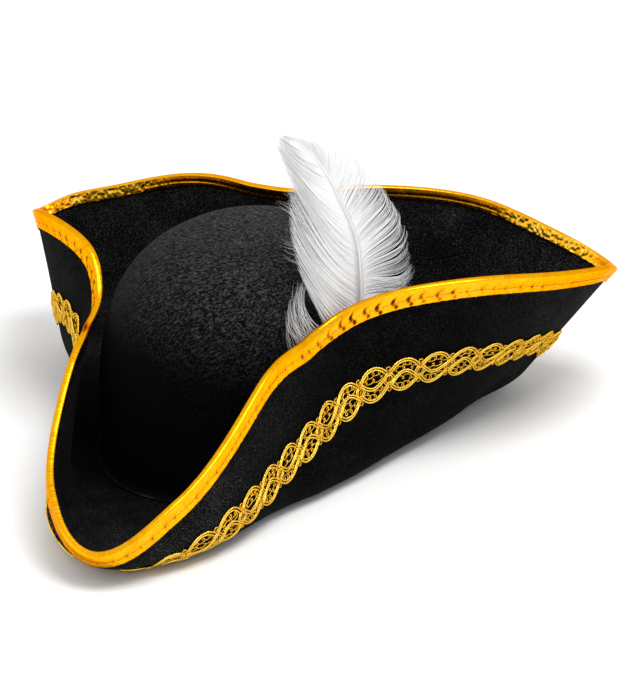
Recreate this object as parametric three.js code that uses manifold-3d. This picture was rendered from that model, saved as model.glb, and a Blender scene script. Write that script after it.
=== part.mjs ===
import * as THREE from 'three';
import Module from 'manifold-3d';
import { mergeVertices } from 'three/addons/utils/BufferGeometryUtils.js';

// A tricorn hat, in millimetres: +Z is up and the front corner points to -Y.
// Angles round the hat are in degrees from the front, positive towards +X, the wearer's left.

// Felt
const feltThickness = 2;

// Crown: a dome on an oval, with a narrow foot turned out onto the brim
const crownHalfWidth = 76;
const crownHalfLength = 102;
const crownHeight = 118;
const crownFullness = 3.2;
const crownFootWidth = 4;
const crownFootThickness = 1.6;

// Brim: a flat ring round the crown, a sloping run, a fold, and a straight flap up to the rim
const brimWidth = 110;
const foldRadius = 20;
const footRing = 6;

// Ribbon folded over the rim, deeper on the outside
const bindingDepth = 10;
const bindingInnerDepth = 6.5;
const bindingThickness = 0.7;

// Braid on the outside of the brim, measured down from the rim to its middle
const braidDrop = 50;
const braidWidth = 15.5;
const braidThickness = 1.5;
const scallopHeight = 2.4;
const scallopPitch = 18;

// Feather between the crown and the left flap
const featherLength = 190;
const featherThickness = 1.2;
const quillRadius = 1.3;
const featherAngle = 68;
const facingAngle = 62;

// Space kept between pieces that touch
const clearance = 0.3;
const braidClearance = 0.45;

// The folded brim, one row for each place round it. widths and flats are shares of the brim's width,
// radius is a share of the fold's radius and braid of the braid's drop. slope and lean are degrees above
// the horizontal, before the fold and after.
const foldColumns = [
  'angle', 'slope', 'radius', 'braid',
  'leftWidth', 'leftFlat', 'leftLean',
  'rightWidth', 'rightFlat', 'rightLean',
];
const foldRows = [
  [0, 3.5, 0.95, 0.66, 1.03, 0.80, 54, 1.03, 0.80, 54],
  [11, 4, 0.95, 0.72, 1.01, 0.59, 90, 1.01, 0.61, 94],
  [28, 7, 0.80, 1.11, 0.98, 0.19, 97, 0.98, 0.17, 101],
  [46, 10, 0.66, 0.96, 0.95, 0.10, 103, 0.95, 0.13, 109],
  [62, 12, 0.70, 0.925, 1.00, 0.09, 100, 1.00, 0.12, 111],
  [80, 12, 0.83, 1.03, 1.15, 0.12, 78, 1.155, 0.10, 100],
  [102, 10, 1.02, 1.16, 1.36, 0.27, 53.5, 1.3, 0.25, 80],
  [115, 8, 1.12, 1.17, 1.46, 0.43, 45, 1.39, 0.53, 77],
  [123, 7, 1.16, 1.12, 1.473, 0.63, 47.5, 1.445, 0.62, 57],
  [131, 6.5, 1.18, 1.08, 1.43, 0.58, 63, 1.485, 0.65, 80],
  [146, 6, 1.17, 1.04, 1.353, 0.41, 79, 1.335, 0.40, 80],
  [163, 6.5, 1.12, 1.0, 1.19, 0.19, 91, 1.175, 0.19, 98],
  [180, 7, 1.09, 1.0, 1.11, 0.09, 101, 1.11, 0.09, 101],
].map((row) => Object.fromEntries(foldColumns.map((name, i) => [name, row[i]])));

// The feather's middle line, from its seat up: across and up, as shares of its length
const quillRows = [
  { across: 0, up: 0 },
  { across: 0.03, up: 0.22 },
  { across: 0.062, up: 0.47 },
  { across: 0.092, up: 0.62 },
  { across: 0.08, up: 0.74 },
  { across: 0.03, up: 0.865 },
  { across: -0.035, up: 0.945 },
  { across: -0.11, up: 0.995 },
];

// Locks of the vane: where each pair springs from along the quill and how far it reaches, as shares of the
// feather's length, with the angle between its tip and the quill in degrees
const lockRows = [
  { root: 0.30, left: 0.31, right: 0.21, leftAngle: 62, rightAngle: 48 },
  { root: 0.36, left: 0.27, right: 0.25, leftAngle: 52, rightAngle: 50 },
  { root: 0.42, left: 0.27, right: 0.26, leftAngle: 48, rightAngle: 47 },
  { root: 0.48, left: 0.28, right: 0.26, leftAngle: 45, rightAngle: 44 },
  { root: 0.54, left: 0.27, right: 0.25, leftAngle: 44, rightAngle: 42 },
  { root: 0.60, left: 0.26, right: 0.24, leftAngle: 42, rightAngle: 42 },
  { root: 0.66, left: 0.24, right: 0.22, leftAngle: 40, rightAngle: 43 },
  { root: 0.72, left: 0.21, right: 0.20, leftAngle: 38, rightAngle: 45 },
  { root: 0.79, left: 0.16, right: 0.16, leftAngle: 34, rightAngle: 46 },
  { root: 0.86, left: 0.11, right: 0.11, leftAngle: 30, rightAngle: 44 },
];
const lockWidth = 0.085;
// Half widths along one lock, as shares of its widest
const lockTaper = [0.5, 1, 1, 0.16];
// A lock bends at its knee: shares of its angle and of its reach
const lockKnee = { angle: 0.55, reach: 0.5 };
// How far the tip bows in over the crown, as a share of the length, and the power it grows with
const featherBow = 0.115;
const featherBowPower = 2.2;
// The quill's thickness at its tip, as a share of the root's
const quillTipShare = 0.3;
const quillSteps = 11;
// Neighbouring locks lie this far to either side of the feather's plane
const lockStagger = 0.15;

const halfFelt = feltThickness / 2;
const radians = (degrees) => (degrees * Math.PI) / 180;
const between = (value, low, high) => Math.min(Math.max(value, low), high);

// Stations all the way round, from right of the back to the back: the right side mirrors the angle and takes
// its own columns
function station(row, side) {
  const isLeft = side > 0;
  return {
    angle: side * row.angle,
    width: (isLeft ? row.leftWidth : row.rightWidth) * brimWidth,
    braid: row.braid * braidDrop,
    slope: radians(row.slope),
    radius: row.radius * foldRadius,
    flat: Math.max((isLeft ? row.leftFlat : row.rightFlat) * brimWidth, footRing),
    lean: radians(isLeft ? row.leftLean : row.rightLean),
  };
}
const rightSide = foldRows.slice(1, -1).reverse().map((row) => station(row, -1));
const leftSide = foldRows.map((row) => station(row, 1));
const stations = [...rightSide, ...leftSide];

// One value of the stations at any angle, on a smooth curve through them that closes on itself
function stationValue(name, angle) {
  const count = stations.length;
  const first = stations[0].angle;
  const turned = ((((angle - first) % 360) + 360) % 360) + first;
  let i = 0;
  while (i < count - 1 && stations[i + 1].angle <= turned) i += 1;
  const at = (k) => {
    const turns = Math.floor(k / count);
    const row = stations[k - turns * count];
    return { x: row.angle + 360 * turns, y: row[name] };
  };
  const [p0, p1, p2, p3] = [at(i - 1), at(i), at(i + 1), at(i + 2)];
  const slopeOf = (a, b) => (b.y - a.y) / (b.x - a.x);
  const tangent = (a, b, c) => {
    const before = b.x - a.x;
    const after = c.x - b.x;
    return (slopeOf(a, b) * after + slopeOf(b, c) * before) / (before + after);
  };
  const span = p2.x - p1.x;
  const t = (turned - p1.x) / span;
  const m1 = tangent(p0, p1, p2) * span;
  const m2 = tangent(p1, p2, p3) * span;
  const h1 = 2 * t ** 3 - 3 * t ** 2 + 1;
  const h2 = t ** 3 - 2 * t ** 2 + t;
  const h3 = t ** 3 - t ** 2;
  return h1 * p1.y + h2 * m1 + (1 - h1) * p2.y + h3 * m2;
}

// Radius of the crown's oval foot at an angle
function ovalRadius(angle) {
  const across = Math.sin(radians(angle)) / crownHalfWidth;
  const along = Math.cos(radians(angle)) / crownHalfLength;
  return 1 / Math.hypot(across, along);
}

// A point of the hat from its angle, radius and height
function placed(angle, radius, height) {
  return new THREE.Vector3(radius * Math.sin(radians(angle)), -radius * Math.cos(radians(angle)), height);
}

// The middle of the felt, at a distance out from the crown's foot measured along the felt
function feltMiddle(angle, distance) {
  const slope = stationValue('slope', angle);
  const radius = stationValue('radius', angle);
  const flat = Math.max(stationValue('flat', angle), footRing);
  const lean = stationValue('lean', angle);
  const arc = radius * (lean - slope);
  const ring = Math.min(distance, footRing);
  const run = between(distance - footRing, 0, flat - footRing);
  const turn = slope + between(distance - flat, 0, arc) / radius;
  const straight = Math.max(distance - flat - arc, 0);
  const out = ring + run * Math.cos(slope) + radius * (Math.sin(turn) - Math.sin(slope))
    + straight * Math.cos(lean);
  const up = run * Math.sin(slope) + radius * (Math.cos(slope) - Math.cos(turn))
    + straight * Math.sin(lean);
  return placed(angle, ovalRadius(angle) + out, halfFelt + up);
}

// Small steps for finding which way the felt faces: degrees round the hat, and millimetres out
const turnStep = 0.4;
const outStep = feltThickness / 5;

// A point at a height off the felt's middle, positive on the outer and lower side
function feltPoint(angle, distance, offset) {
  const middle = feltMiddle(angle, distance);
  if (distance <= footRing) {
    middle.z -= offset;
    return middle;
  }
  const round = feltMiddle(angle + turnStep, distance).sub(feltMiddle(angle - turnStep, distance));
  const out = feltMiddle(angle, distance + outStep).sub(feltMiddle(angle, distance - outStep));
  const normal = round.cross(out).normalize();
  return middle.addScaledVector(normal, offset);
}

// How far out from the crown's foot the braid's middle lies
function braidMiddle(angle) {
  return stationValue('width', angle) - stationValue('braid', angle);
}

// Angles of the trims' columns, evenly spaced along the braid's middle, with whole scallops all the way
// round. The felt takes every second one, so that the trims lie flat on it.
const columnsPerScallop = 3;
const walkSteps = 1440;

function columnAngles() {
  const angles = [];
  const lengths = [0];
  let before = null;
  for (let i = 0; i <= walkSteps; i += 1) {
    const angle = (360 * i) / walkSteps;
    const point = feltMiddle(angle, braidMiddle(angle));
    if (before) lengths.push(lengths[i - 1] + point.distanceTo(before));
    angles.push(angle);
    before = point;
  }
  const total = lengths[walkSteps];
  const scallops = 2 * Math.round(total / scallopPitch / 2);
  const count = scallops * columnsPerScallop;
  const spaced = [];
  let i = 0;
  for (let k = 0; k < count; k += 1) {
    const wanted = (total * k) / count;
    while (lengths[i + 1] < wanted) i += 1;
    const share = (wanted - lengths[i]) / (lengths[i + 1] - lengths[i]);
    spaced.push(angles[i] + share * (angles[i + 1] - angles[i]));
  }
  return spaced;
}
const braidAngles = columnAngles();
const brimAngles = braidAngles.filter((angle, k) => k % 2 === 0);

// A body from points and triangles, turned so that its faces point out
function bodyGeometry(points, triangles) {
  let volume = 0;
  for (const [a, b, c] of triangles) {
    volume += points[a].dot(points[b].clone().cross(points[c]));
  }
  const index = triangles.flatMap(([a, b, c]) => (volume > 0 ? [a, b, c] : [a, c, b]));
  const geometry = new THREE.BufferGeometry();
  const positions = points.flatMap((p) => [p.x, p.y, p.z]);
  geometry.setAttribute('position', new THREE.Float32BufferAttribute(positions, 3));
  geometry.setIndex(index);
  geometry.computeVertexNormals();
  return geometry;
}

// A closed band: each column is a loop of points, and the last column meets the first
function bandGeometry(columns) {
  const size = columns[0].length;
  const triangles = [];
  columns.forEach((column, i) => {
    const here = i * size;
    const next = ((i + 1) % columns.length) * size;
    column.forEach((point, k) => {
      const up = (k + 1) % size;
      triangles.push([here + k, next + k, next + up], [here + k, next + up, here + up]);
    });
  });
  return bodyGeometry(columns.flat(), triangles);
}

// A dome shell: each column is a profile from one pole to the other, both poles shared by all the columns
function poleGeometry(columns, startPole, endPole) {
  const size = columns[0].length;
  const points = [...columns.flat(), startPole, endPole];
  const start = points.length - 2;
  const end = points.length - 1;
  const triangles = [];
  columns.forEach((column, i) => {
    const here = i * size;
    const next = ((i + 1) % columns.length) * size;
    triangles.push([start, next, here], [end, here + size - 1, next + size - 1]);
    for (let k = 0; k + 1 < size; k += 1) {
      triangles.push([here + k, next + k, next + k + 1], [here + k, next + k + 1, here + k + 1]);
    }
  });
  return bodyGeometry(points, triangles);
}

// A rod or strip: rings of points one after another, with a fan over each end
function rodGeometry(rings) {
  const size = rings[0].length;
  const points = rings.flat();
  const last = (rings.length - 1) * size;
  const triangles = [];
  for (let i = 0; i + 1 < rings.length; i += 1) {
    for (let k = 0; k < size; k += 1) {
      const here = i * size + k;
      const beside = i * size + ((k + 1) % size);
      triangles.push([here, here + size, beside + size], [here, beside + size, beside]);
    }
  }
  for (let k = 1; k + 1 < size; k += 1) {
    triangles.push([0, k, k + 1], [last, last + k + 1, last + k]);
  }
  return bodyGeometry(points, triangles);
}

// Crown
const crownBase = feltThickness + clearance;
const domeSteps = 8;
const crownColumns = 48;

function crownGeometry() {
  // Outer and inner dome: a share of the oval and a height for each step down from the top
  const domeRow = (step, inset) => {
    const share = Math.sin((step / domeSteps) * (Math.PI / 2));
    const drop = Math.max(1 - share ** crownFullness, 0) ** (1 / crownFullness);
    return { share, inset, height: crownBase + (crownHeight - inset) * drop };
  };
  const profile = [];
  for (let step = 1; step < domeSteps; step += 1) profile.push(domeRow(step, 0));
  const footTop = crownBase + crownFootThickness;
  profile.push({ share: 1, inset: 0, height: footTop + feltThickness });
  profile.push({ share: 1, inset: -feltThickness / 2, height: footTop });
  profile.push({ share: 1, inset: -crownFootWidth, height: footTop });
  profile.push({ share: 1, inset: -crownFootWidth, height: crownBase });
  profile.push({ share: 1, inset: feltThickness, height: crownBase });
  for (let step = domeSteps - 1; step > 0; step -= 1) profile.push(domeRow(step, feltThickness));
  const columns = [];
  for (let i = 0; i < crownColumns; i += 1) {
    const angle = (360 * i) / crownColumns;
    const foot = ovalRadius(angle);
    columns.push(profile.map(({ share, inset, height }) => placed(angle, (foot - inset) * share, height)));
  }
  const top = new THREE.Vector3(0, 0, crownBase + crownHeight);
  const underTop = new THREE.Vector3(0, 0, crownBase + crownHeight - feltThickness);
  return poleGeometry(columns, top, underTop);
}

// Brim: rows out along the felt, with the braid's and the binding's own rows in it so that both lie flat
const runRows = 3;
const braidRows = 3;

function brimDistances(angle) {
  const width = stationValue('width', angle);
  const braidStart = braidMiddle(angle) - braidWidth / 2;
  const distances = [-feltThickness, footRing];
  for (let k = 1; k < runRows; k += 1) distances.push(footRing + ((braidStart - footRing) * k) / runRows);
  for (let k = 0; k <= braidRows; k += 1) distances.push(braidStart + (braidWidth * k) / braidRows);
  distances.push(width - bindingDepth, width - bindingInnerDepth, width);
  return distances;
}

function brimGeometry() {
  return bandGeometry(brimAngles.map((angle) => {
    const distances = brimDistances(angle);
    const upper = distances.map((distance) => feltPoint(angle, distance, -halfFelt));
    const lower = distances.map((distance) => feltPoint(angle, distance, halfFelt));
    return [...upper, ...lower.reverse()];
  }));
}

// Binding: a channel over the rim, its inside one clearance off the felt
function bindingGeometry() {
  const inside = halfFelt + clearance;
  const outside = inside + bindingThickness;
  return bandGeometry(brimAngles.map((angle) => {
    const rim = stationValue('width', angle);
    const mouth = rim - bindingDepth;
    const innerMouth = rim - bindingInnerDepth;
    const crest = rim + clearance;
    const section = [
      [mouth, outside],
      [innerMouth, outside],
      [rim, outside],
      [crest + bindingThickness, 0],
      [rim, -outside],
      [innerMouth, -outside],
      [innerMouth, -inside],
      [crest, -inside],
      [crest, inside],
      [innerMouth, inside],
      [mouth, inside],
    ];
    return section.map(([distance, offset]) => feltPoint(angle, distance, offset));
  }));
}

// Braid: a band with scallops on both edges
function braidGeometry() {
  const under = halfFelt + braidClearance;
  const over = under + braidThickness;
  return bandGeometry(braidAngles.map((angle, k) => {
    const middle = braidMiddle(angle);
    const bulge = scallopHeight * Math.sin((Math.PI * k) / columnsPerScallop) ** 2;
    const rows = [];
    for (let row = 0; row <= braidRows; row += 1) rows.push(middle + braidWidth * (row / braidRows - 0.5));
    rows[0] -= bulge;
    rows[braidRows] += bulge;
    const lower = rows.map((distance) => feltPoint(angle, distance, under));
    const upper = rows.map((distance) => feltPoint(angle, distance, over));
    return [...upper, ...lower.reverse()];
  }));
}

// Feather: a plane that faces outwards, bowed in over the crown towards its tip
const featherOut = placed(facingAngle, 1, 0);
const featherAcross = new THREE.Vector3(-featherOut.y, featherOut.x, 0);

const featherSeat = placed(
  featherAngle,
  ovalRadius(featherAngle) + crownFootWidth + quillRadius + 2 * clearance,
  feltThickness + clearance + quillRadius,
);

function featherPoint(across, up, depth) {
  const bow = featherBow * Math.max(up / featherLength, 0) ** featherBowPower * featherLength;
  return featherSeat.clone()
    .addScaledVector(featherAcross, across)
    .addScaledVector(featherOut, depth - bow)
    .add(new THREE.Vector3(0, 0, up));
}

const quillLine = new THREE.CatmullRomCurve3(
  quillRows.map(({ across, up }) => new THREE.Vector3(across * featherLength, up * featherLength, 0)),
);

// A strip in the feather's plane along a list of points, its half width and half thickness given at each
function featherStrip(line, halfWidths, halfThickness, lift) {
  return rodGeometry(line.map((point, i) => {
    const before = line[Math.max(i - 1, 0)];
    const after = line[Math.min(i + 1, line.length - 1)];
    const along = after.clone().sub(before).normalize();
    const side = new THREE.Vector2(-along.y, along.x).multiplyScalar(halfWidths[i]);
    const corner = (s, d) => featherPoint(point.x + s * side.x, point.y + s * side.y, lift + d);
    return [corner(-1, 0), corner(0, halfThickness), corner(1, 0), corner(0, -halfThickness)];
  }));
}

// One lock: it leaves the quill along its run and bends over towards its own side
function lockGeometry(root, reach, angle, side, lift) {
  const start = quillLine.getPointAt(root);
  const along = quillLine.getTangentAt(root);
  const turned = (degrees) => {
    const a = -side * radians(degrees);
    return new THREE.Vector2(
      along.x * Math.cos(a) - along.y * Math.sin(a),
      along.x * Math.sin(a) + along.y * Math.cos(a),
    );
  };
  const tip = turned(angle).multiplyScalar(reach * featherLength);
  const knee = turned(angle * lockKnee.angle).multiplyScalar(reach * featherLength * lockKnee.reach);
  const curve = new THREE.QuadraticBezierCurve(
    new THREE.Vector2(start.x, start.y),
    new THREE.Vector2(start.x + knee.x, start.y + knee.y),
    new THREE.Vector2(start.x + tip.x, start.y + tip.y),
  );
  const wide = (lockWidth * featherLength) / 2;
  const halfWidths = lockTaper.map((share) => share * wide);
  return featherStrip(curve.getPoints(halfWidths.length - 1), halfWidths, featherThickness / 2, lift);
}

const manifoldLibrary = await Module();
manifoldLibrary.setup();

// Joins closed geometries into one solid
function fused(geometries) {
  const solids = geometries.map((geometry) => {
    const bare = geometry.clone();
    bare.deleteAttribute('normal');
    const merged = mergeVertices(bare, 1e-4);
    return new manifoldLibrary.Manifold(new manifoldLibrary.Mesh({
      numProp: 3,
      vertProperties: new Float32Array(merged.attributes.position.array),
      triVerts: new Uint32Array(merged.index.array),
    }));
  });
  const joined = solids.reduce((all, solid) => all.add(solid));
  const mesh = joined.getMesh();
  const geometry = new THREE.BufferGeometry();
  geometry.setAttribute('position', new THREE.BufferAttribute(mesh.vertProperties, mesh.numProp));
  geometry.setIndex(new THREE.BufferAttribute(mesh.triVerts, 1));
  geometry.computeVertexNormals();
  return geometry;
}

function featherGeometry() {
  const quillPoints = quillLine.getSpacedPoints(quillSteps).map(({ x, y }) => new THREE.Vector2(x, y));
  const taper = quillPoints.map((point, i) => quillRadius * (1 - ((1 - quillTipShare) * i) / quillSteps));
  const pieces = [featherStrip(quillPoints, taper, quillRadius, 0)];
  lockRows.forEach((row, i) => {
    const lift = i % 2 === 0 ? lockStagger : -lockStagger;
    pieces.push(lockGeometry(row.root, row.left, row.leftAngle, -1, lift));
    pieces.push(lockGeometry(row.root, row.right, row.rightAngle, 1, lift));
  });
  return fused(pieces);
}

// Materials
const crownFelt = new THREE.MeshStandardMaterial({ color: 0x1b1b1d, roughness: 0.96, metalness: 0 });
const brimFelt = new THREE.MeshStandardMaterial({ color: 0x111113, roughness: 0.95, metalness: 0 });
const goldRibbon = new THREE.MeshStandardMaterial({ color: 0xe9a512, roughness: 0.32, metalness: 0.85 });
const goldBraid = new THREE.MeshStandardMaterial({ color: 0xc9961c, roughness: 0.42, metalness: 0.8 });
const whitePlume = new THREE.MeshStandardMaterial({ color: 0xf1f3f6, roughness: 0.75, metalness: 0 });

// The hat
const pieces = [
  ['crown', crownGeometry(), crownFelt],
  ['brim', brimGeometry(), brimFelt],
  ['edge_binding', bindingGeometry(), goldRibbon],
  ['braid_trim', braidGeometry(), goldBraid],
  ['feather', featherGeometry(), whitePlume],
];

// The origin goes under the middle of the hat's box
const box = new THREE.Box3();
for (const [, geometry] of pieces) {
  geometry.computeBoundingBox();
  box.union(geometry.boundingBox);
}
const middle = box.getCenter(new THREE.Vector3());

const hat = new THREE.Group();
for (const [name, geometry, material] of pieces) {
  geometry.translate(-middle.x, -middle.y, -box.min.z);
  const mesh = new THREE.Mesh(geometry, material);
  mesh.name = name;
  hat.add(mesh);
}

export default hat;
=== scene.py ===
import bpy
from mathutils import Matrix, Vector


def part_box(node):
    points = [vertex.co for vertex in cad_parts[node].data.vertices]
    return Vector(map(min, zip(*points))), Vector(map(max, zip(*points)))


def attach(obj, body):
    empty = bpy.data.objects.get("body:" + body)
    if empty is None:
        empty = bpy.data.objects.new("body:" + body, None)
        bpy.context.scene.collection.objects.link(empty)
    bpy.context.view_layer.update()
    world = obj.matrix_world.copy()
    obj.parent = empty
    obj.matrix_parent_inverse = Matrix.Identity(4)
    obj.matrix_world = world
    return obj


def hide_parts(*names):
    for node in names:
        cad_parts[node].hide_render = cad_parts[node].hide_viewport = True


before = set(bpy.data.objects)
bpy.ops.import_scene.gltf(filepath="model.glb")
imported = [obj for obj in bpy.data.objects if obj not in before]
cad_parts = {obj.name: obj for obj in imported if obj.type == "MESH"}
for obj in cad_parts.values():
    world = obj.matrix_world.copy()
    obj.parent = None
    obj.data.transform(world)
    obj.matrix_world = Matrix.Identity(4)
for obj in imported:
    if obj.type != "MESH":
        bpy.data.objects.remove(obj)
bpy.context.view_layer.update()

# %% [markdown]
# # A tricorn hat
#
# Black felt, a brim turned up on three sides, a gold ribbon over its edge, a gold braid round the outside
# and a white plume. The solids give the sizes. Here each of them gets a finer surface of the same form, and
# a finish. All lengths are in metres, written as millimetres times MM.

# %% Set-up
import math

import bpy
import numpy as np

MM = 0.001

# %% [markdown]
# ## One formula for the folded felt
#
# A real tricorn starts as a round felt with a flat brim, and the flaps are folded up and tacked. So the
# brim is one bent sheet: a flat ring under the crown, a gentle slope, a round fold and a straight flap. A
# short table gives those values at some places round the hat, and a smooth curve fills in between. Every
# piece that lies on the felt asks this one formula for its place, so ribbon and braid follow each bend by
# themselves.

# %% Sizes and the fold table
FELT = 2.0 * MM
CLEARANCE = 0.3 * MM
BRIM_WIDTH = 110 * MM
FOLD_RADIUS = 20 * MM
FOOT_RING = 6 * MM
CROWN_FOOT = 4 * MM
CROWN_FULLNESS = 3.2
BRAID_DROP = 50 * MM
FOLD_COLUMNS = ("angle", "slope", "radius", "braid", "left_width", "left_flat", "left_lean",
                "right_width", "right_flat", "right_lean")
FOLD_ROWS = np.array([
    (0, 3.5, 0.95, 0.66, 1.03, 0.80, 54, 1.03, 0.80, 54),
    (11, 4, 0.95, 0.72, 1.01, 0.59, 90, 1.01, 0.61, 94),
    (28, 7, 0.80, 1.11, 0.98, 0.19, 97, 0.98, 0.17, 101),
    (46, 10, 0.66, 0.96, 0.95, 0.10, 103, 0.95, 0.13, 109),
    (62, 12, 0.70, 0.925, 1.00, 0.09, 100, 1.00, 0.12, 111),
    (80, 12, 0.83, 1.03, 1.15, 0.12, 78, 1.155, 0.10, 100),
    (102, 10, 1.02, 1.16, 1.36, 0.27, 53.5, 1.3, 0.25, 80),
    (115, 8, 1.12, 1.17, 1.46, 0.43, 45, 1.39, 0.53, 77),
    (123, 7, 1.16, 1.12, 1.473, 0.63, 47.5, 1.445, 0.62, 57),
    (131, 6.5, 1.18, 1.08, 1.43, 0.58, 63, 1.485, 0.65, 80),
    (146, 6, 1.17, 1.04, 1.353, 0.41, 79, 1.335, 0.40, 80),
    (163, 6.5, 1.12, 1.0, 1.19, 0.19, 91, 1.175, 0.19, 98),
    (180, 7, 1.09, 1.0, 1.11, 0.09, 101, 1.11, 0.09, 101),
])
FOLD = dict(zip(FOLD_COLUMNS, FOLD_ROWS.T))

crown_low, crown_high = (np.array(corner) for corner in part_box("crown"))
AXIS = (crown_low + crown_high) / 2 * (1, 1, 0)
CROWN_HALF = (crown_high - crown_low)[:2] / 2 - CROWN_FOOT
CROWN_BASE = crown_low[2]
CROWN_HEIGHT = crown_high[2] - crown_low[2]
print("crown half width and half length, mm:", np.round(CROWN_HALF / MM, 1))

# %% The folded felt as a function of an angle and a distance
def all_round(left, right=None):
    """The stations all the way round: the right side's column backwards, then the left side's."""
    return np.concatenate((FOLD[right or left][1:-1][::-1], FOLD[left]))


STATIONS = {
    "angle": np.concatenate((-FOLD["angle"][1:-1][::-1], FOLD["angle"])),
    "width": all_round("left_width", "right_width") * BRIM_WIDTH,
    "braid": all_round("braid") * BRAID_DROP,
    "slope": np.radians(all_round("slope")),
    "radius": all_round("radius") * FOLD_RADIUS,
    "flat": np.maximum(all_round("left_flat", "right_flat") * BRIM_WIDTH, FOOT_RING),
    "lean": np.radians(all_round("left_lean", "right_lean")),
}


def cubic(values, slopes, i, t, step):
    """The cubic from value i to value i + 1 at a share t of the step between them, with slopes at its
    ends."""
    ends = (1 - t) ** 2 * (1 + 2 * t) * values[i] + t**2 * (3 - 2 * t) * values[i + 1]
    return ends + step * (t * (1 - t) ** 2 * slopes[i] - t**2 * (1 - t) * slopes[i + 1])


def around(name, angle):
    """A station value at any angle. Between two stations it is a cubic, whose slope at a station is that of
    the parabola through it and its two neighbours. The loop is closed by repeating it a full turn before
    and after."""
    x = np.concatenate([STATIONS["angle"] + turn for turn in (-360, 0, 360)])
    y = np.tile(STATIONS[name], 3)
    step = np.diff(x)
    rise = np.diff(y) / step
    slope = np.zeros_like(x)
    slope[1:-1] = (rise[:-1] * step[1:] + rise[1:] * step[:-1]) / (step[:-1] + step[1:])
    turned = (np.asarray(angle, dtype=float) + 180) % 360 - 180
    i = np.searchsorted(x, turned, side="right") - 1
    return cubic(y, slope, i, (turned - x[i]) / step[i], step[i])


def oval(angle):
    """The crown's foot as an ellipse in polar form: 1 over the length of (sin/half width, cos/half
    length)."""
    a = np.radians(angle)
    return 1 / np.hypot(np.sin(a) / CROWN_HALF[0], np.cos(a) / CROWN_HALF[1])


def placed(angle, radius, height):
    """A point from its angle, radius and height round the hat's axis. The front is -Y and +X is the
    left."""
    a = np.radians(angle)
    flat = np.stack(np.broadcast_arrays(radius * np.sin(a), -radius * np.cos(a), height), axis=-1)
    return flat + AXIS


def felt_middle(angle, distance):
    """The middle of the felt: out by the flat ring, then along the slope, round the fold's arc and straight
    up the flap. Out and up are the sums of those parts."""
    slope, radius, lean = (around(name, angle) for name in ("slope", "radius", "lean"))
    flat = np.maximum(around("flat", angle), FOOT_RING)
    arc = radius * (lean - slope)
    ring = np.minimum(distance, FOOT_RING)
    run = np.clip(distance - FOOT_RING, 0, flat - FOOT_RING)
    turn = slope + np.clip(distance - flat, 0, arc) / radius
    straight = np.maximum(distance - flat - arc, 0)
    out = ring + run * np.cos(slope) + radius * (np.sin(turn) - np.sin(slope)) + straight * np.cos(lean)
    up = run * np.sin(slope) + radius * (np.cos(slope) - np.cos(turn)) + straight * np.sin(lean)
    return placed(angle, oval(angle) + out, FELT / 2 + up)


RIPPLE = 0.35 * MM


def ripple(angle, distance):
    """Slack in the felt: three slow waves round the hat that also drift outwards, growing from none at the
    crown."""
    a = np.radians(angle)
    grow = np.clip((distance - FOOT_RING) / (30 * MM), 0, 1) ** 2
    waves = 0.5 * np.sin(7 * a + 1.3 + 40 * distance)
    waves = waves + 0.3 * np.sin(13 * a + 0.4 - 60 * distance) + 0.2 * np.sin(23 * a + 2.1 + 30 * distance)
    return RIPPLE * grow * waves


def unit(vectors):
    """Vectors of length one."""
    return vectors / np.linalg.norm(vectors, axis=-1, keepdims=True)


def felt_normal(angle, distance):
    """Which way the outer and lower side of the felt faces: the cross product of a step round the hat and a
    step outwards, and straight down on the flat ring."""
    turn = 0.4
    step = 0.4 * MM
    round_step = felt_middle(angle + turn, distance) - felt_middle(angle - turn, distance)
    out_step = felt_middle(angle, distance + step) - felt_middle(angle, distance - step)
    normal = unit(np.cross(round_step, out_step))
    on_ring = np.broadcast_to(np.asarray(distance) <= FOOT_RING, normal.shape[:-1])
    return np.where(on_ring[..., None], (0.0, 0.0, -1.0), normal)


def felt_point(angle, distance, offset):
    """A point off the felt's middle, positive on the outer side, with the ripple added."""
    lift = offset + ripple(angle, distance)
    return felt_middle(angle, distance) + felt_normal(angle, distance) * np.asarray(lift)[..., None]


# %% [markdown]
# ## Columns that suit the braid
#
# The braid's scallops have one real pitch, so the mesh columns are spaced evenly along the braid and not by
# angle. A fine walk round the hat gives the arc length, and interpolation turns it inside out.

# %% Arc length along the braid and along the rim
SCALLOP_PITCH = 18 * MM
fine_angles = np.linspace(0, 360, 2881)


def arc_lengths(points):
    """Running length of a polyline, starting at nought."""
    steps = np.linalg.norm(np.diff(points, axis=0), axis=1)
    return np.concatenate(([0.0], np.cumsum(steps)))


fine_widths = around("width", fine_angles)
braid_lengths = arc_lengths(felt_middle(fine_angles, fine_widths - around("braid", fine_angles)))
rim_lengths = arc_lengths(felt_middle(fine_angles, fine_widths))
BRAID_TOTAL = braid_lengths[-1]
RIM_TOTAL = rim_lengths[-1]
SCALLOPS = 2 * round(BRAID_TOTAL / SCALLOP_PITCH / 2)
print("braid length, mm:", round(BRAID_TOTAL / MM), "in", SCALLOPS, "scallops; rim, mm:",
      round(RIM_TOTAL / MM))

# %% [markdown]
# ## Meshes from whole arrays
#
# Every piece here is a tube of some kind: the brim's section is carried round the hat, the crown's rings
# run from its top to its inner top, and cords, stitches and barbs are thin tubes. So one function makes the
# faces of a block of tubes from an array of points with the shape (tubes, rings, sides, 3). Open ends get a
# cap of quads. The signed volume tells whether the faces point out, and turns them round if they don't.

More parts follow.
